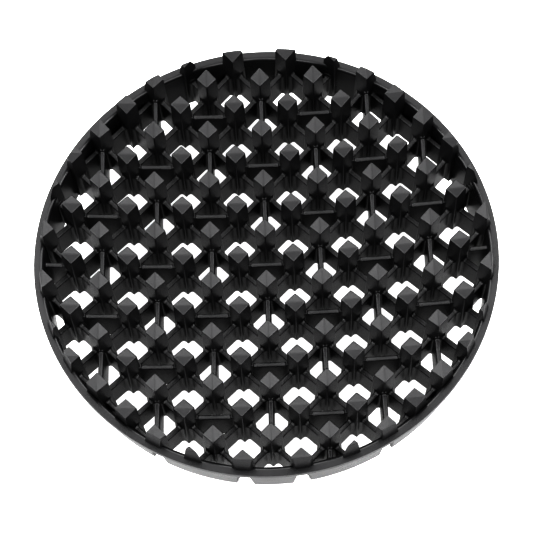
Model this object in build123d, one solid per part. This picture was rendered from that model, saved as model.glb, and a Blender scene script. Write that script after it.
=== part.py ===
from build123d import *

import os
from math import hypot, sqrt

# A round light grid of black moulded plastic, which sits in the mouth of a lamp reflector.
# Square posts stand in a dished field, diagonal ribs and straight bars join them, and a flanged
# rim closes the field. The origin is the middle of the flange's seating face, and light leaves
# along +Z. Millimetres throughout.

# Rim.
OUTER_DIAMETER = 175.0
FLANGE_THICKNESS = 2.5
FLANGE_INNER_ROUND = 1.6
SKIRT_DEPTH = 19.4
SKIRT_OUTER_TOP = 85.7
SKIRT_OUTER_BOTTOM = 84.0
SKIRT_INNER_TOP = 83.8
SKIRT_INNER_BOTTOM = 83.0

# Field. Depths are measured down from the post tips, which lie on a dish.
POST_SPACING = 14.7
DISH_RADIUS = 437.0
TIP_HEIGHT = 1.5
FIELD_DEPTH = 26.6
BAR_TOP_DEPTH = 10.0
RIB_TOP_DEPTH = 13.5
FOOT_STEP = 0.2

# Posts are square, with their corners along X and Y. They widen downwards and are hollow below.
POST_TIP_HALF_DIAGONAL = 3.95
POST_FOOT_HALF_DIAGONAL = 4.9
POST_RIDGE_HEIGHT = 0.66
POST_WALL = 0.88
CORE_TOP_DEPTH = 11.0
CORE_OVERRUN = 4.0
STUB_SHIFT = 1.82

# Posts that reach past the rim's inner wall are trimmed to a cone above the flange.
TRIM_BOTTOM_RADIUS = 85.7
TRIM_TOP_RADIUS = 84.4
TRIM_HEIGHT = 7.2

RIB_THICKNESS_TOP = 1.85
RIB_THICKNESS_FOOT = 2.2
BAR_THICKNESS_TOP = 1.77
BAR_THICKNESS_FOOT = 2.1

# A chip smaller than this, left where a rib or bar meets the rim, is part of the rim.
SMALLEST_PIECE = 25.0

# The layout counts in half pitches: a post stands where one of its two numbers is odd.
PITCH = POST_SPACING * sqrt(2)
HALF_PITCH = PITCH / 2
OUTER_RADIUS = OUTER_DIAMETER / 2
LAST_LINE = 8
LAST_DIAGONAL = 11
FULL_POST_REACH = 4.1 * PITCH
STUB_POST_REACH = 4.3 * PITCH
RIM_POST_REACH = 3.8 * PITCH

# The bars' chequer would put one here, against the near rim, but this cell is open.
OPEN_CELL = (-2, -8)


def dish_height(x, y):
    """The rise of the dish above its middle."""
    return (x**2 + y**2) / (2 * DISH_RADIUS)


def on_dish(outline, depth):
    """Lays a plan outline at a depth below the dish of the post tips."""
    return [(x, y, TIP_HEIGHT - depth + dish_height(x, y)) for x, y in outline]


def diamond(center, half_diagonal):
    """The plan of a post: a square with its corners along X and Y."""
    x, y = center
    d = half_diagonal
    return [(x + d, y), (x, y + d), (x - d, y), (x, y - d)]


def strip(start, end, thickness):
    """The plan of a rib or bar between two points."""
    (x1, y1), (x2, y2) = start, end
    length = hypot(x2 - x1, y2 - y1)
    across_x = (y1 - y2) / length * thickness / 2
    across_y = (x2 - x1) / length * thickness / 2
    return [
        (x1 + across_x, y1 + across_y),
        (x2 + across_x, y2 + across_y),
        (x2 - across_x, y2 - across_y),
        (x1 - across_x, y1 - across_y),
    ]


def post_half_diagonal(depth):
    """Half the diagonal of a post, which has moulding draft from its tip to its foot."""
    draft = POST_FOOT_HALF_DIAGONAL - POST_TIP_HALF_DIAGONAL
    return POST_TIP_HALF_DIAGONAL + draft * depth / FIELD_DEPTH


def post_block(center, ridge_along_x):
    """A post's outside: a tapered square column under a low gable."""
    eaves = on_dish(diamond(center, POST_TIP_HALF_DIAGONAL), 0)
    ridge_plan = diamond(center, post_half_diagonal(-POST_RIDGE_HEIGHT))
    ridge = on_dish(ridge_plan, -POST_RIDGE_HEIGHT)
    foot = on_dish(diamond(center, POST_FOOT_HALF_DIAGONAL), FIELD_DEPTH)
    tip = ridge[0::2] + eaves[1::2] if ridge_along_x else eaves[0::2] + ridge[1::2]
    return ConvexPolyhedron(tip + foot)


def core_block(center):
    """The hollow inside a post, open at its foot."""
    wall_on_diagonal = POST_WALL * sqrt(2)
    levels = [CORE_TOP_DEPTH, FIELD_DEPTH + CORE_OVERRUN]
    points = []
    for depth in levels:
        half_diagonal = post_half_diagonal(depth) - wall_on_diagonal
        points += on_dish(diamond(center, half_diagonal), depth)
    return ConvexPolyhedron(points)


def strip_block(start, end, top_depth, thickness_top, thickness_foot):
    """A rib or bar from post centre to post centre, thicker at its foot."""
    top = on_dish(strip(start, end, thickness_top), top_depth)
    foot = on_dish(strip(start, end, thickness_foot), FIELD_DEPTH - FOOT_STEP)
    return ConvexPolyhedron(top + foot)


def place(node):
    """The position of a layout node, in millimetres."""
    return (node[0] * HALF_PITCH, node[1] * HALF_PITCH)


def post_nodes():
    """Every post of the layout: one of its two half-pitch numbers is odd, the other even."""
    lines = range(-LAST_LINE, LAST_LINE + 1)
    nodes = [(i, k) for k in lines for i in lines if (i + k) % 2]
    return [node for node in nodes if hypot(*place(node)) < STUB_POST_REACH]


def is_stub(node):
    """True for the eight posts whose place falls on the rim itself."""
    return hypot(*place(node)) > FULL_POST_REACH


def post_center(node):
    """A post's centre. A stub stands a little inward of its place, along its rib."""
    x, y = place(node)
    if not is_stub(node):
        return (x, y)
    return (x - STUB_SHIFT if x > 0 else x + STUB_SHIFT, y - STUB_SHIFT if y > 0 else y + STUB_SHIFT)


def inner_profile():
    """The rim's inner edge in section, from the skirt's foot to the flange's top."""
    wall = Polyline(
        (SKIRT_INNER_BOTTOM, -SKIRT_DEPTH),
        (SKIRT_INNER_TOP, 0),
        (SKIRT_INNER_TOP, FLANGE_THICKNESS - FLANGE_INNER_ROUND),
    )
    lip = CenterArc(
        (SKIRT_INNER_TOP + FLANGE_INNER_ROUND, FLANGE_THICKNESS - FLANGE_INNER_ROUND),
        FLANGE_INNER_ROUND,
        90,
        90,
    )
    return wall, lip


def ring_from(*edges):
    """Turns a closed section, drawn as (radius, height), about Z."""
    return revolve(Plane.XZ * make_face(list(edges)), Axis.Z)


def rim_flange():
    """The flat flange, rounded where it drops into the field."""
    ring = Cylinder(OUTER_RADIUS, FLANGE_THICKNESS) - Cylinder(SKIRT_INNER_TOP, FLANGE_THICKNESS)
    ring = Pos(0, 0, FLANGE_THICKNESS / 2) * ring
    mouth = ring.edges().filter_by(GeomType.CIRCLE).group_by(Axis.Z)[-1].sort_by(SortBy.RADIUS)[0]
    return fillet(mouth, FLANGE_INNER_ROUND)


def rim_skirt(cores):
    """The skirt under the flange. The hollow posts beside it leave slots in it."""
    section = Polyline(
        (SKIRT_INNER_TOP, 0),
        (SKIRT_OUTER_TOP, 0),
        (SKIRT_OUTER_BOTTOM, -SKIRT_DEPTH),
        (SKIRT_INNER_BOTTOM, -SKIRT_DEPTH),
        close=True,
    )
    return ring_from(section) - cores


def field_envelope():
    """All that lies inside the rim, and above the flange inside the trimming cone."""
    wall, lip = inner_profile()
    below = -2 * FIELD_DEPTH
    above = FLANGE_THICKNESS + TRIM_HEIGHT + POST_RIDGE_HEIGHT
    trim_slope = (TRIM_BOTTOM_RADIUS - TRIM_TOP_RADIUS) / TRIM_HEIGHT
    outside = Polyline(
        (SKIRT_INNER_TOP + FLANGE_INNER_ROUND, FLANGE_THICKNESS),
        (TRIM_BOTTOM_RADIUS, FLANGE_THICKNESS),
        (TRIM_BOTTOM_RADIUS - trim_slope * (above - FLANGE_THICKNESS), above),
        (0, above),
        (0, below),
        (SKIRT_INNER_BOTTOM, below),
        (SKIRT_INNER_BOTTOM, -SKIRT_DEPTH),
    )
    return ring_from(wall, lip, outside)


def reaches_rim(shape):
    """True when a shape comes as far out as the skirt."""
    return max(hypot(v.X, v.Y) for v in shape.vertices()) > SKIRT_INNER_BOTTOM


def inside_rim(shape, envelope):
    """The solids that the rim leaves of a shape."""
    kept = shape & envelope if reaches_rim(shape) else shape
    return [solid for solid in kept.solids() if solid.volume > SMALLEST_PIECE]


def between_posts(start, end, blocks, sizes):
    """A rib or bar trimmed by the posts at its ends."""
    shape = strip_block(place(start), place(end), *sizes)
    for node in (start, end):
        if node in blocks:
            shape = shape - blocks[node]
    return shape


def post_rows(blocks, cores, envelope):
    """The posts, one row for each line along X."""
    rows = {}
    for number, line in enumerate(range(-LAST_LINE, LAST_LINE + 1), start=1):
        solids = []
        for node in [node for node in blocks if node[1] == line]:
            for solid in inside_rim(blocks[node], envelope):
                hollow = solid if is_stub(node) else solid - cores[node]
                solids += hollow.solids()
        rows[f"post_row_{number:02d}"] = solids
    return rows


def diagonal_ribs(blocks, envelope, name, slant):
    """The ribs of one slant, one run for each diagonal line of posts."""
    sizes = (RIB_TOP_DEPTH, RIB_THICKNESS_TOP, RIB_THICKNESS_FOOT)
    runs = {}
    for number, line in enumerate(range(-LAST_DIAGONAL, LAST_DIAGONAL + 1, 2), start=1):
        solids = []
        for node in [node for node in blocks if node[0] - slant * node[1] == line]:
            neighbour = (node[0] + slant, node[1] + 1)
            if neighbour in blocks:
                rib = between_posts(node, neighbour, blocks, sizes)
                solids += inside_rim(rib, envelope)
        runs[f"{name}_{number:02d}"] = solids
    return runs


def bar_middles(line, along_x):
    """The cells that the bars of one line cross: every other cell, in a chequer with the other axis."""
    steps = range(-LAST_LINE, LAST_LINE + 1, 2)
    cells = [(step, line) if along_x else (line, step) for step in steps]
    parity = 0 if along_x else 2
    return [cell for cell in cells if sum(cell) % 4 == parity and cell != OPEN_CELL]


def bar_ends(middle, along_x):
    """The two layout nodes that a bar joins."""
    i, k = middle
    return [(i - 1, k), (i + 1, k)] if along_x else [(i, k - 1), (i, k + 1)]


def straight_bars(blocks, envelope, name, along_x):
    """The bars along one axis, one row for each line of cells."""
    sizes = (BAR_TOP_DEPTH, BAR_THICKNESS_TOP, BAR_THICKNESS_FOOT)
    rows = {}
    for line in range(2 - LAST_LINE, LAST_LINE - 1, 2):
        solids = []
        for ends in [bar_ends(middle, along_x) for middle in bar_middles(line, along_x)]:
            if any(end in blocks for end in ends):
                bar = between_posts(*ends, blocks, sizes)
                solids += inside_rim(bar, envelope)
        rows[f"{name}_{len(rows) + 1}"] = solids
    return rows


def grid_parts():
    """Every named sub-part of the grid, as a list of separate solids."""
    nodes = post_nodes()
    blocks = {node: post_block(post_center(node), node[0] % 2 == 1) for node in nodes}
    cores = {node: core_block(place(node)) for node in nodes if not is_stub(node)}
    rim_cores = [cores[node] for node in cores if hypot(*place(node)) > RIM_POST_REACH]
    envelope = field_envelope()
    parts = {
        "rim_flange": rim_flange().solids(),
        "rim_skirt": rim_skirt(rim_cores).solids(),
    }
    parts |= post_rows(blocks, cores, envelope)
    parts |= diagonal_ribs(blocks, envelope, "rising_rib", 1)
    parts |= diagonal_ribs(blocks, envelope, "falling_rib", -1)
    parts |= straight_bars(blocks, envelope, "cross_bar_row", True)
    parts |= straight_bars(blocks, envelope, "fore_aft_bar_row", False)
    return parts


os.makedirs("parts", exist_ok=True)
for part_name, solids in grid_parts().items():
    export_step(Compound(children=solids, label=part_name), f"parts/{part_name}.step")
    print(part_name, len(solids), round(sum(solid.volume for solid in solids), 1))
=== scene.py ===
import math
from collections import namedtuple

import bmesh
import bpy
from mathutils import Matrix, Vector


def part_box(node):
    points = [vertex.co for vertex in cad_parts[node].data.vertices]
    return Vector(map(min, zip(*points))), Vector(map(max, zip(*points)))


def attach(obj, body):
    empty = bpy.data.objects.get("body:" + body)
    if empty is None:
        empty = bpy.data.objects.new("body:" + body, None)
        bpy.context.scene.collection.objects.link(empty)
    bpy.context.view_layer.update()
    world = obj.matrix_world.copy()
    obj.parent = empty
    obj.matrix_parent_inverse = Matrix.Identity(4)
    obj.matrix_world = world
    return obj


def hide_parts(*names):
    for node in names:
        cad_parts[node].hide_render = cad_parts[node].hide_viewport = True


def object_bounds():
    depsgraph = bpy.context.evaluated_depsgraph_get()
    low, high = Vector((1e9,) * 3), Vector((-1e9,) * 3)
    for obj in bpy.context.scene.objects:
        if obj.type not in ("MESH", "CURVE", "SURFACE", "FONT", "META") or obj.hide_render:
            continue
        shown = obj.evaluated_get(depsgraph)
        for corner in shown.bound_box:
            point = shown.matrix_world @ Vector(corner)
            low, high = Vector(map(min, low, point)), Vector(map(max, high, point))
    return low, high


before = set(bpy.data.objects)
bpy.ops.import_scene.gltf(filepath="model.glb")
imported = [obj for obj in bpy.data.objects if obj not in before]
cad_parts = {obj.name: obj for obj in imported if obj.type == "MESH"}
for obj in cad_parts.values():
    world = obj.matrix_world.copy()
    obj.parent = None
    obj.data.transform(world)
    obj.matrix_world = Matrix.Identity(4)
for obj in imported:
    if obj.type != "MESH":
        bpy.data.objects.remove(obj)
cad_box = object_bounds()

# The finished look of a round light grid, one moulding of black plastic. Every CAD node gets a
# detailed piece in the same place, with rounded edges, drafted walls and fillets at its roots.
# Lengths are in metres.
MM = 0.001

# Rim, with its height and reach taken from the frame.
FLANGE_LOW, FLANGE_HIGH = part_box("rim_flange")
OUTER_RADIUS = FLANGE_HIGH.x
FLANGE_TOP = FLANGE_HIGH.z
SKIRT_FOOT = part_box("rim_skirt")[0].z
SKIRT_OUTER_TOP = 85.7 * MM
SKIRT_OUTER_FOOT = 84.0 * MM
SKIRT_INNER_TOP = 83.8 * MM
SKIRT_INNER_FOOT = 83.0 * MM
SKIRT_MIDDLE_TOP = (SKIRT_INNER_TOP + SKIRT_OUTER_TOP) / 2
SKIRT_MIDDLE_FOOT = (SKIRT_INNER_FOOT + SKIRT_OUTER_FOOT) / 2
SKIRT_OVERLAP = 0.3 * MM
SKIRT_ROOT_ROUND = 0.6 * MM
FLANGE_INNER_ROUND = 1.6 * MM
EDGE_ROUND = 0.3 * MM
RIM_SEGMENTS = 360

# Field. Depths are measured down from the dish of the post tips. The ribs and bars stop a small
# step above the feet of the posts.
POST_SPACING = 14.7 * MM
DISH_RADIUS = 437 * MM
TIP_HEIGHT = 1.5 * MM
FIELD_DEPTH = 26.6 * MM
BAR_TOP_DEPTH = 10.0 * MM
RIB_TOP_DEPTH = 13.5 * MM
FOOT_STEP = 0.2 * MM

CORNERS = [Vector(corner) for corner in ((1, 0), (0, 1), (-1, 0), (0, -1))]
POST_TIP_HALF_DIAGONAL = 3.95 * MM
POST_FOOT_HALF_DIAGONAL = 4.9 * MM
POST_RIDGE_HEIGHT = 0.66 * MM
POST_WALL = 0.88 * MM
CORE_TOP_DEPTH = 11.0 * MM
CORE_OVERRUN = 4.0 * MM
STUB_SHIFT = 1.82 * MM

RIB_THICKNESS = (1.85 * MM, 2.2 * MM)
BAR_THICKNESS = (1.77 * MM, 2.1 * MM)
SHORTEST_BAR = 1 * MM

# Rounding. A rib or bar swells into its fillets over a few sections, the last of them buried in
# the post. A bar's sections are placed by their distance from the corner that it meets.
FIELD_ROUND = 0.55 * MM
ROUND_STEPS = 3
RIB_FILLET = 1.2 * MM
RIB_FILLET_ANGLES = (0, 22.5, 45, 67.5, 90)
RIB_BURIED = 0.4 * MM
BAR_FILLET = 0.8 * MM
BAR_STATIONS = [away * MM for away in (0.8, 0.5, 0.25, 0.08, 0.0, -0.3, -0.6, -0.9, -1.22)]
ROUNDED_ABOVE = math.radians(12)
SMOOTH_BELOW = math.radians(38)
FLAT_BELOW = math.radians(0.3)
WELD = 0.002 * MM

# Posts that reach past the rim's inner wall are trimmed to a cone above the flange.
TRIM_BOTTOM_RADIUS = 85.7 * MM
TRIM_TOP_RADIUS = 84.4 * MM
TRIM_HEIGHT = 7.2 * MM

# Layout. Nodes are counted in half pitches from the middle, and the reaches are radii: beyond the
# first one posts run into the rim, beyond the second they are stubs, and beyond the last none stand.
PITCH = POST_SPACING * math.sqrt(2)
LAST_LINE = 8
LAST_DIAGONAL = 11
RIM_POST_REACH = 3.8 * PITCH
FULL_POST_REACH = 4.1 * PITCH
STUB_POST_REACH = 4.3 * PITCH

# The bars' chequer would put one here, against the near rim, but this cell is open.
OPEN_CELL = (-2, -8)

# Plastic: a near-black base with faint mottling, and moulded-in grain. Scales are per metre.
PLASTIC_IOR = 1.35
DARK_TINT = (0.0052, 0.0052, 0.0056, 1)
PALE_TINT = (0.0085, 0.0084, 0.0088, 1)
TINT_SPAN = (0.35, 0.7)
SHEEN_SPREAD = (-0.05, 0.06)
MOTTLE_SCALE = 60
MOTTLE_DETAIL = 4
GRAIN_SCALE = 2600
GRAIN_DETAIL = 3
GRAIN_ROUGHNESS = 0.6
GRAIN_HEIGHT = 0.12 * MM

# Table top, in metres from its middle to an edge.
TABLE_REACH = 3
TABLE_COLOR = (0.2, 0.2, 0.2, 1)
TABLE_ROUGHNESS = 0.6
TABLE_GLOW = (1, 1, 1, 1)

# The light tent's shade at each height of its dome, from the horizon (0) to straight up (1).
TENT_SHADES = ((0.35, 0.06), (0.52, 1.0), (0.68, 1.0), (0.8, 0.45), (0.9, 0.22), (0.98, 0.4))
TENT_STRENGTH = 16

# Soft lights in pairs, as the right one's place in metres, width and length, and watts.
HIGH_BOX = ((0.38, 0.45, 0.95), (0.35, 0.6), 5)
LOW_PANEL = ((0.95, -0.25, 0.45), (0.6, 0.6), 16)
DISPLAY_GAMMA = 0.5

# Camera, aimed at a point by its azimuth from the front, its elevation and its roll.
AZIMUTH = math.radians(2.17)
ELEVATION = math.radians(66.03)
ROLL = math.radians(-4.25)
CAMERA_DISTANCE = 659 * MM
CAMERA_TARGET = Vector((0.12, -5.0, 0.7)) * MM
LENS = 118.34
SENSOR_WIDTH = 36

# A kind of rib or bar: its thickness at the dish and at the foot, the depth of its top, how far a
# post reaches along it at a depth, and its stations. A station has its distance from the post and
# how far the sides and the top swell there.
Strip = namedtuple("Strip", "thickness top_depth post_reach stations")


# --- layout ---------------------------------------------------------------------------------


def place(node):
    """The position of a layout node, which counts in half pitches."""
    return Vector((node[0] * PITCH / 2, node[1] * PITCH / 2))


def post_nodes():
    """Every post of the layout: one of its two numbers is odd, the other even."""
    lines = range(-LAST_LINE, LAST_LINE + 1)
    nodes = [(i, k) for k in lines for i in lines if (i + k) % 2]
    return [node for node in nodes if place(node).length < STUB_POST_REACH]


def is_stub(node):
    """True for the eight posts whose place falls on the rim itself."""
    return place(node).length > FULL_POST_REACH


def at_rim(node):
    """True for the posts that run into the rim."""
    return place(node).length > RIM_POST_REACH


def post_center(node):
    """A post's centre. A stub stands a little inward of its place, along its rib."""
    center = place(node)
    if not is_stub(node):
        return center
    return Vector(math.copysign(abs(v) - STUB_SHIFT, v) for v in center)


def on_dish(point, depth):
    """A plan point at a depth below the dish of the post tips."""
    rise = point.length_squared / (2 * DISH_RADIUS)
    return Vector((point.x, point.y, TIP_HEIGHT - depth + rise))


def blend_by_depth(depth, at_tip, at_foot):
    """A size that changes evenly with depth, as moulding draft makes it."""
    return at_tip + (at_foot - at_tip) * depth / FIELD_DEPTH


def half_diagonal(depth):
    """Half the diagonal of a post at a depth."""
    return blend_by_depth(depth, POST_TIP_HALF_DIAGONAL, POST_FOOT_HALF_DIAGONAL)


def core_reach(depth):
    """Half the diagonal of a post's hollow at a depth."""
    return half_diagonal(depth) - POST_WALL * math.sqrt(2)


def square_outline(center, reach, depth):
    """The corners of a post's outline, or its hollow's, at a depth."""
    return [on_dish(center + corner * reach, depth) for corner in CORNERS]


def taper_down_skirt(height, at_top, at_foot):
    """A radius that changes evenly down the skirt, at a height."""
    drop = min(max(height / SKIRT_FOOT, 0), 1)
    return at_top + (at_foot - at_top) * drop


def inner_wall_radius(height):
    """The radius of the rim's inner wall at a height."""
    return taper_down_skirt(height, SKIRT_INNER_TOP, SKIRT_INNER_FOOT)


def skirt_middle_radius(height):
    """The radius of the middle of the skirt's wall at a height."""
    return taper_down_skirt(height, SKIRT_MIDDLE_TOP, SKIRT_MIDDLE_FOOT)


# --- mesh helpers -----------------------------------------------------------------------------


def loop_of(bm, points):
    """New vertices for a closed loop of points."""
    return [bm.verts.new(point) for point in points]


def bridge(bm, loop_a, loop_b):
    """Quads between two loops of the same length."""
    count = len(loop_a)
    for i in range(count):
        j = (i + 1) % count
        bm.faces.new((loop_a[i], loop_a[j], loop_b[j], loop_b[i]))


def arc(center, radius, start, stop, steps):
    """Points of an arc in a plane, with its angles in degrees."""
    angles = [math.radians(start + (stop - start) * i / steps) for i in range(steps + 1)]
    return [(center[0] + radius * math.cos(a), center[1] + radius * math.sin(a)) for a in angles]


def lathe(profile, segments):
    """A closed section, as (radius, height) points, turned about Z."""
    bm = bmesh.new()
    loops = []
    for i in range(segments):
        turn = 2 * math.pi * i / segments
        c, s = math.cos(turn), math.sin(turn)
        loops.append(loop_of(bm, [(r * c, r * s, z) for r, z in profile]))
    for i in range(segments):
        bridge(bm, loops[i], loops[(i + 1) % segments])
    bmesh.ops.recalc_face_normals(bm, faces=bm.faces)
    return bm


def mesh_object(bm, name):
    """An object in the scene with the mesh built so far."""
    mesh = bpy.data.meshes.new(name)
    bm.to_mesh(mesh)
    bm.free()
    made = bpy.data.objects.new(name, mesh)
    bpy.context.scene.collection.objects.link(made)
    return made


def cut_away(bm, cutter):
    """Takes the cutter object's volume out of a closed mesh."""
    target = mesh_object(bm, "cut_target")
    modifier = target.modifiers.new("cut", "BOOLEAN")
    modifier.operation = "DIFFERENCE"
    modifier.solver = "EXACT"
    modifier.object = cutter
    evaluated = target.evaluated_get(bpy.context.evaluated_depsgraph_get())
    result = bmesh.new()
    result.from_mesh(evaluated.to_mesh())
    evaluated.to_mesh_clear()
    remove(target)
    bmesh.ops.remove_doubles(result, verts=result.verts, dist=WELD)
    return result


def remove(thing):
    """Deletes a helper object and its mesh."""
    mesh = thing.data
    bpy.data.objects.remove(thing)
    bpy.data.meshes.remove(mesh)


def inside_rim_wall(edge):
    """True for an edge that is buried in the skirt."""
    below_top = 0.5 * MM
    into_wall = 0.1 * MM
    return all(
        v.co.z < FLANGE_TOP - below_top and v.co.xy.length > inner_wall_radius(v.co.z) + into_wall
        for v in edge.verts
    )


def round_edges(bm):
    """Rounds every edge that turns, apart from those buried in the rim."""
    bm.normal_update()
    edges = [
        edge for edge in bm.edges
        if edge.calc_face_angle(0) > ROUNDED_ABOVE and not inside_rim_wall(edge)
    ]
    bmesh.ops.bevel(
        bm, geom=edges, offset=FIELD_ROUND, segments=ROUND_STEPS, profile=0.5, affect="EDGES",
        clamp_overlap=True,
    )


def finish_piece(bm, node, material):
    """Shows a detailed mesh in place of its CAD node."""
    piece = mesh_object(bm, f"{node}_moulded")
    mesh = piece.data
    mesh.materials.append(material)
    mesh.shade_smooth()
    mesh.set_sharp_from_angle(angle=SMOOTH_BELOW)
    normals = piece.modifiers.new("even_normals", "WEIGHTED_NORMAL")
    normals.keep_sharp = True
    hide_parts(node)
    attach(piece, "root")


# --- rim --------------------------------------------------------------------------------------


def rim_flange():
    """The flat flange: crisp outer edges and a soft drop into the field."""
    r, soft = EDGE_ROUND, FLANGE_INNER_ROUND
    rim = OUTER_RADIUS - r
    profile = [(SKIRT_INNER_TOP, FLANGE_LOW.z)]
    profile += arc((rim, FLANGE_LOW.z + r), r, -90, 0, steps=4)
    profile += arc((rim, FLANGE_TOP - r), r, 0, 90, steps=4)
    profile += arc((SKIRT_INNER_TOP + soft, FLANGE_TOP - soft), soft, 90, 180, steps=8)
    return lathe(profile, RIM_SEGMENTS)


def core_block(bm, node):
    """The hollow of a post as a closed block, which goes on past the foot to cut the skirt."""
    depths = (CORE_TOP_DEPTH, FIELD_DEPTH + CORE_OVERRUN)
    top, bottom = [
        loop_of(bm, square_outline(place(node), core_reach(depth), depth)) for depth in depths
    ]
    bridge(bm, bottom, top)
    bm.faces.new(top)
    bm.faces.new(reversed(bottom))


def rim_skirt(nodes):
    """The skirt, with a fillet under the flange, rounded feet, and slots beside the rim posts."""
    r, root = EDGE_ROUND, SKIRT_ROOT_ROUND
    profile = [(SKIRT_INNER_TOP, SKIRT_OVERLAP)]
    profile += arc((SKIRT_INNER_FOOT + r, SKIRT_FOOT + r), r, 180, 270, steps=4)
    profile += arc((SKIRT_OUTER_FOOT - r, SKIRT_FOOT + r), r, 270, 360, steps=4)
    profile += arc((SKIRT_OUTER_TOP + root, -root), root, 180, 90, steps=5)
    profile += [(SKIRT_OUTER_TOP + root, SKIRT_OVERLAP)]
    skirt = lathe(profile, RIM_SEGMENTS)
    cores = bmesh.new()
    for node in nodes:
        if at_rim(node) and not is_stub(node):
            core_block(cores, node)
    cutter = mesh_object(cores, "core_cutter")
    skirt = cut_away(skirt, cutter)
    remove(cutter)
    return skirt


def trim_ring():
    """All that posts may not fill: outside the skirt's middle, and outside the cone above."""
    slope = (TRIM_BOTTOM_RADIUS - TRIM_TOP_RADIUS) / TRIM_HEIGHT
    top = FLANGE_TOP + 2 * TRIM_HEIGHT
    bottom = 2 * SKIRT_FOOT
    far = 2 * OUTER_RADIUS
    profile = [
        (SKIRT_MIDDLE_FOOT, bottom),
        (SKIRT_MIDDLE_FOOT, SKIRT_FOOT),
        (SKIRT_MIDDLE_TOP, FLANGE_TOP / 2),
        (TRIM_BOTTOM_RADIUS, FLANGE_TOP / 2),
        (TRIM_BOTTOM_RADIUS, FLANGE_TOP),
        (TRIM_BOTTOM_RADIUS - slope * (top - FLANGE_TOP), top),
        (far, top),
        (far, bottom),
    ]
    return mesh_object(lathe(profile, RIM_SEGMENTS // 2), "trim_ring")


# --- posts ------------------------------------------------------------------------------------


def tip_outline(center, ridge_along_x):
    """The corners of a post's top, with two of them raised to carry the gable's ridge."""
    points = []
    for number, corner in enumerate(CORNERS):
        on_ridge = (number % 2 == 0) == ridge_along_x
        depth = -POST_RIDGE_HEIGHT if on_ridge else 0
        points.append(on_dish(center + corner * half_diagonal(depth), depth))
    return points


def post_mesh(node):
    """A post before rounding: drafted square sides, a low gable on top, a hollow below."""
    bm = bmesh.new()
    center = post_center(node)
    ridge_along_x = node[0] % 2 == 1
    tip = loop_of(bm, tip_outline(center, ridge_along_x))
    foot = loop_of(bm, square_outline(center, POST_FOOT_HALF_DIAGONAL, FIELD_DEPTH))
    bridge(bm, foot, tip)
    a, b, c, d = tip if ridge_along_x else tip[1:] + tip[:1]
    bm.faces.new((a, b, c))
    bm.faces.new((c, d, a))
    if is_stub(node):
        bm.faces.new(reversed(foot))
        return bm
    mouth = loop_of(bm, square_outline(center, core_reach(FIELD_DEPTH), FIELD_DEPTH))
    ceiling = loop_of(bm, square_outline(center, core_reach(CORE_TOP_DEPTH), CORE_TOP_DEPTH))
    bridge(bm, mouth, foot)
    bridge(bm, ceiling, mouth)
    bm.faces.new(reversed(ceiling))
    return bm


def join(target, part):
    """Adds one mesh to another."""
    mesh = bpy.data.meshes.new("joined")
    part.to_mesh(mesh)
    part.free()
    target.from_mesh(mesh)
    bpy.data.meshes.remove(mesh)


def post_row(row_nodes, trimmer):
    """One row of posts, each with rounded edges. Those at the rim are trimmed first."""
    row = bmesh.new()
    for node in row_nodes:
        post = post_mesh(node)
        if at_rim(node):
            post = cut_away(post, trimmer)
            bmesh.ops.dissolve_limit(
                post, angle_limit=FLAT_BELOW, verts=post.verts, edges=post.edges
            )
        round_edges(post)
        join(row, post)
    return row


# --- ribs and bars ----------------------------------------------------------------------------


def rounded_section(half_top, half_foot, top, foot):
    """A rib's or bar's section as (sideways, depth) points, with rounded corners."""
    r = FIELD_ROUND
    corners = [
        (half_foot - r, r - foot),
        (half_top - r, -top - r),
        (r - half_top, -top - r),
        (r - half_foot, r - foot),
    ]
    points = []
    for number, center in enumerate(corners):
        start = 90 * number - 90
        points += [(x, -y) for x, y in arc(center, r, start, start + 90, ROUND_STEPS)]
    return points


def rib_stations():
    """A rib's stations. It meets a post's flat side, so all of it swells alike."""
    stations = []
    for angle in map(math.radians, RIB_FILLET_ANGLES):
        swell = RIB_FILLET * (1 - math.cos(angle))
        stations.append((RIB_FILLET * (1 - math.sin(angle)), swell, swell))
    return stations + [(-RIB_BURIED, RIB_FILLET, RIB_FILLET)]


def bar_stations():
    """A bar's stations. It meets a post's corner, so its sides swell over less room."""
    half = BAR_THICKNESS[0] / 2
    start = BAR_FILLET * math.tan(math.radians(22.5)) - half
    stations = []
    for away in BAR_STATIONS:
        lean = min(max((start - away) / BAR_FILLET, 0), math.sqrt(0.5))
        side = BAR_FILLET * (1 - math.sqrt(1 - lean**2))
        climb = min(max(BAR_FILLET - away, 0), BAR_FILLET)
        top = BAR_FILLET - math.sqrt(BAR_FILLET**2 - climb**2)
        stations.append((away, side, top))
    return stations


def distance_to_rim(origin, direction, sideways, depth):
    """How far along a line the rim's inner wall is."""
    across = Vector((-direction.y, direction.x)) * sideways
    start = origin + across
    edge = origin.normalized() * SKIRT_INNER_TOP
    radius = inner_wall_radius(on_dish(edge, depth).z)
    along = start.dot(direction)
    inside = along**2 - start.length_squared + radius**2
    return math.sqrt(max(inside, 0)) - along


def held_in_skirt(point):
    """The point, drawn in to the middle of the skirt's wall if it lies beyond."""
    scale = min(skirt_middle_radius(point.z) / point.xy.length, 1)
    return Vector((point.x * scale, point.y * scale, point.z))


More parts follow.
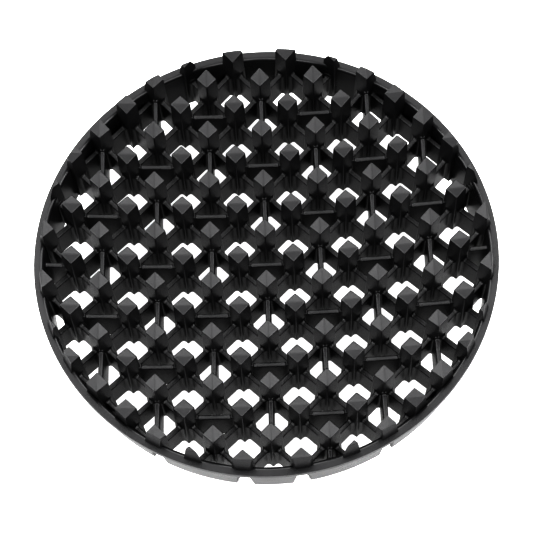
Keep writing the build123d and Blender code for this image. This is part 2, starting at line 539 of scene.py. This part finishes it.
def strip_end(origin, direction, length, end, nodes, kind):
    """The sections of half a rib or bar, from its middle out to a post or the rim."""
    middle = origin + direction * length / 2
    meets_rim = end not in nodes or is_stub(end)
    half_top = blend_by_depth(kind.top_depth, *kind.thickness) / 2
    half_foot = kind.thickness[1] / 2
    foot = FIELD_DEPTH - FOOT_STEP
    loops = []
    for away, side, rise in kind.stations:
        loop = []
        section = rounded_section(half_top + side, half_foot + side, kind.top_depth - rise, foot)
        for sideways, depth in section:
            room = length / 2 - kind.post_reach(depth) if end in nodes else length
            if meets_rim:
                room = min(room, distance_to_rim(middle, direction, sideways, depth))
            across = Vector((-direction.y, direction.x)) * sideways
            point = on_dish(middle + direction * (room - away) + across, depth)
            loop.append(held_in_skirt(point))
        loops.append(loop)
    return loops


def add_strip(bm, start, end, nodes, kind):
    """A rib or bar between two layout nodes, flared into the posts or the rim at its ends."""
    a = post_center(start) if start in nodes else place(start)
    b = post_center(end) if end in nodes else place(end)
    length = (b - a).length
    direction = (b - a) / length
    ahead = strip_end(a, direction, length, end, nodes, kind)
    behind = strip_end(b, -direction, length, start, nodes, kind)
    behind = [loop[::-1] for loop in reversed(behind)]
    loops = [loop_of(bm, points) for points in behind + ahead]
    for one, other in zip(loops, loops[1:]):
        bridge(bm, one, other)
    bm.faces.new(reversed(loops[0]))
    bm.faces.new(loops[-1])


def middle_is_open(start, end):
    """True when a rib's middle is clear of the rim."""
    return ((place(start) + place(end)) / 2).length < SKIRT_INNER_FOOT


def rib_run(line, slant, nodes):
    """The ribs along one diagonal line."""
    kind = Strip(
        RIB_THICKNESS, RIB_TOP_DEPTH, lambda d: half_diagonal(d) / math.sqrt(2), rib_stations()
    )
    bm = bmesh.new()
    for node in [node for node in nodes if node[0] - slant * node[1] == line]:
        neighbour = (node[0] + slant, node[1] + 1)
        if neighbour in nodes and middle_is_open(node, neighbour):
            add_strip(bm, node, neighbour, nodes, kind)
    return bm


def bar_middles(line, along_x):
    """The cells that one line's bars cross: every other one, in a chequer with the other axis."""
    steps = range(-LAST_LINE, LAST_LINE + 1, 2)
    cells = [(step, line) if along_x else (line, step) for step in steps]
    parity = 0 if along_x else 2
    return [cell for cell in cells if sum(cell) % 4 == parity and cell != OPEN_CELL]


def bar_ends(middle, along_x):
    """The two layout nodes that a bar joins."""
    i, k = middle
    return [(i - 1, k), (i + 1, k)] if along_x else [(i, k - 1), (i, k + 1)]


def bar_is_shown(start, end, nodes):
    """True when some of a bar is left between its post and the rim."""
    inner = min((node for node in (start, end) if node in nodes), key=lambda n: place(n).length)
    outer = end if inner == start else start
    direction = (place(outer) - place(inner)).normalized()
    room = distance_to_rim(place(inner), direction, 0, BAR_TOP_DEPTH)
    return room > POST_FOOT_HALF_DIAGONAL + SHORTEST_BAR


def bar_row(line, along_x, nodes):
    """The bars along one line of cells."""
    kind = Strip(BAR_THICKNESS, BAR_TOP_DEPTH, half_diagonal, bar_stations())
    bm = bmesh.new()
    for ends in [bar_ends(middle, along_x) for middle in bar_middles(line, along_x)]:
        if any(end in nodes for end in ends) and bar_is_shown(*ends, nodes):
            add_strip(bm, *ends, nodes, kind)
    return bm


# --- materials, light, camera -----------------------------------------------------------------


def add_noise(tree, scale, detail):
    """A noise texture that is fixed to the object."""
    noise = tree.nodes.new("ShaderNodeTexNoise")
    noise.inputs["Scale"].default_value = scale
    noise.inputs["Detail"].default_value = detail
    where = tree.nodes.new("ShaderNodeTexCoord")
    tree.links.new(where.outputs["Object"], noise.inputs["Vector"])
    return noise


def add_mottle(tree, shader, roughness):
    """Faint mottling of the colour and the sheen."""
    mottle = add_noise(tree, MOTTLE_SCALE, MOTTLE_DETAIL)
    tint = tree.nodes.new("ShaderNodeValToRGB")
    for stop, position, color in zip(tint.color_ramp.elements, TINT_SPAN, (DARK_TINT, PALE_TINT)):
        stop.position = position
        stop.color = color
    tree.links.new(mottle.outputs["Fac"], tint.inputs["Fac"])
    tree.links.new(tint.outputs["Color"], shader.inputs["Base Color"])
    sheen = tree.nodes.new("ShaderNodeMapRange")
    sheen.inputs["To Min"].default_value = roughness + SHEEN_SPREAD[0]
    sheen.inputs["To Max"].default_value = roughness + SHEEN_SPREAD[1]
    tree.links.new(mottle.outputs["Fac"], sheen.inputs["Value"])
    tree.links.new(sheen.outputs["Result"], shader.inputs["Roughness"])


def add_grain(tree, shader, strength):
    """The fine grain of the mould."""
    grain = add_noise(tree, GRAIN_SCALE, GRAIN_DETAIL)
    grain.inputs["Roughness"].default_value = GRAIN_ROUGHNESS
    bump = tree.nodes.new("ShaderNodeBump")
    bump.inputs["Strength"].default_value = strength
    bump.inputs["Distance"].default_value = GRAIN_HEIGHT
    tree.links.new(grain.outputs["Fac"], bump.inputs["Height"])
    tree.links.new(bump.outputs["Normal"], shader.inputs["Normal"])


def moulded_plastic(name, roughness, grain):
    """Black moulded plastic: fine grain, faint mottling, and a sheen that varies a little."""
    material = bpy.data.materials.new(name)
    material.use_nodes = True
    tree = material.node_tree
    shader = tree.nodes["Principled BSDF"]
    shader.inputs["IOR"].default_value = PLASTIC_IOR
    add_mottle(tree, shader, roughness)
    add_grain(tree, shader, grain)
    return material


def glowing_floor(height):
    """A pale, evenly lit table top."""
    bm = bmesh.new()
    bmesh.ops.create_grid(bm, x_segments=2, y_segments=2, size=TABLE_REACH)
    floor = mesh_object(bm, "floor")
    floor.location.z = height
    material = bpy.data.materials.new("pale_table")
    material.use_nodes = True
    shader = material.node_tree.nodes["Principled BSDF"]
    shader.inputs["Base Color"].default_value = TABLE_COLOR
    shader.inputs["Roughness"].default_value = TABLE_ROUGHNESS
    shader.inputs["Emission Color"].default_value = TABLE_GLOW
    shader.inputs["Emission Strength"].default_value = 1.0
    floor.data.materials.append(material)


def soft_light(name, position, size, power):
    """A soft box that faces the object, with its length running front to back."""
    light = bpy.data.lights.new(name, "AREA")
    light.shape = "RECTANGLE"
    light.size, light.size_y = size
    light.energy = power
    lamp = bpy.data.objects.new(name, light)
    lamp.location = position
    lamp.rotation_mode = "QUATERNION"
    lamp.rotation_quaternion = Vector(position).to_track_quat("Z", "Y")
    bpy.context.scene.collection.objects.link(lamp)


def light_pair(name, right_place, size, power):
    """The same soft light on the left and on the right."""
    x, y, z = right_place
    soft_light(f"left_{name}", (-x, y, z), size, power)
    soft_light(f"right_{name}", (x, y, z), size, power)


def light_tent():
    """A world whose brightness depends only on the height of each direction."""
    world = bpy.data.worlds.new("light_tent")
    world.use_nodes = True
    nodes, links = world.node_tree.nodes, world.node_tree.links
    background = nodes["Background"]
    background.inputs["Strength"].default_value = TENT_STRENGTH
    where = nodes.new("ShaderNodeTexCoord")
    split = nodes.new("ShaderNodeSeparateXYZ")
    ramp = nodes.new("ShaderNodeValToRGB")
    bands = ramp.color_ramp.elements
    for height, shade in TENT_SHADES:
        bands.new(height).color = (shade, shade, shade, 1)
    bands.remove(bands[0])
    bands.remove(bands[-1])
    links.new(where.outputs["Generated"], split.inputs["Vector"])
    links.new(split.outputs["Z"], ramp.inputs["Fac"])
    links.new(ramp.outputs["Color"], background.inputs["Color"])
    bpy.context.scene.world = world


def studio():
    """A light tent, dimmer overhead, with soft lights high at the back and low at the sides."""
    light_tent()
    light_pair("box", *HIGH_BOX)
    light_pair("panel", *LOW_PANEL)
    bpy.context.scene.view_settings.view_transform = "Standard"
    bpy.context.scene.view_settings.gamma = DISPLAY_GAMMA


def camera():
    """A long lens above the near side, looking down into the grid."""
    away = Vector((
        math.sin(AZIMUTH) * math.cos(ELEVATION),
        -math.cos(AZIMUTH) * math.cos(ELEVATION),
        math.sin(ELEVATION),
    ))
    right = Vector((0, 0, 1)).cross(away).normalized()
    up = away.cross(right)
    axes = (
        right * math.cos(ROLL) + up * math.sin(ROLL),
        up * math.cos(ROLL) - right * math.sin(ROLL),
        away,
    )
    data = bpy.data.cameras.new("camera")
    data.lens = LENS
    data.sensor_width = SENSOR_WIDTH
    made = bpy.data.objects.new("camera", data)
    made.location = CAMERA_TARGET + away * CAMERA_DISTANCE
    made.rotation_mode = "QUATERNION"
    made.rotation_quaternion = Matrix(axes).transposed().to_quaternion()
    bpy.context.scene.collection.objects.link(made)
    bpy.context.scene.camera = made


# --- the grid ---------------------------------------------------------------------------------


def build_grid():
    """Every piece of the grid, in place of its CAD node."""
    nodes = post_nodes()
    smooth = moulded_plastic("smooth_black_plastic", roughness=0.28, grain=0.25)
    grained = moulded_plastic("grained_black_plastic", roughness=0.33, grain=0.6)
    finish_piece(rim_flange(), "rim_flange", smooth)
    finish_piece(rim_skirt(nodes), "rim_skirt", smooth)
    trimmer = trim_ring()
    for number, line in enumerate(range(-LAST_LINE, LAST_LINE + 1), start=1):
        row = post_row([node for node in nodes if node[1] == line], trimmer)
        finish_piece(row, f"post_row_{number:02d}", grained)
    remove(trimmer)
    for number, line in enumerate(range(-LAST_DIAGONAL, LAST_DIAGONAL + 1, 2), start=1):
        finish_piece(rib_run(line, 1, nodes), f"rising_rib_{number:02d}", grained)
        finish_piece(rib_run(line, -1, nodes), f"falling_rib_{number:02d}", grained)
    for number, line in enumerate(range(2 - LAST_LINE, LAST_LINE - 1, 2), start=1):
        finish_piece(bar_row(line, True, nodes), f"cross_bar_row_{number}", grained)
        finish_piece(bar_row(line, False, nodes), f"fore_aft_bar_row_{number}", grained)


build_grid()
glowing_floor(cad_box[0].z)
studio()
camera()
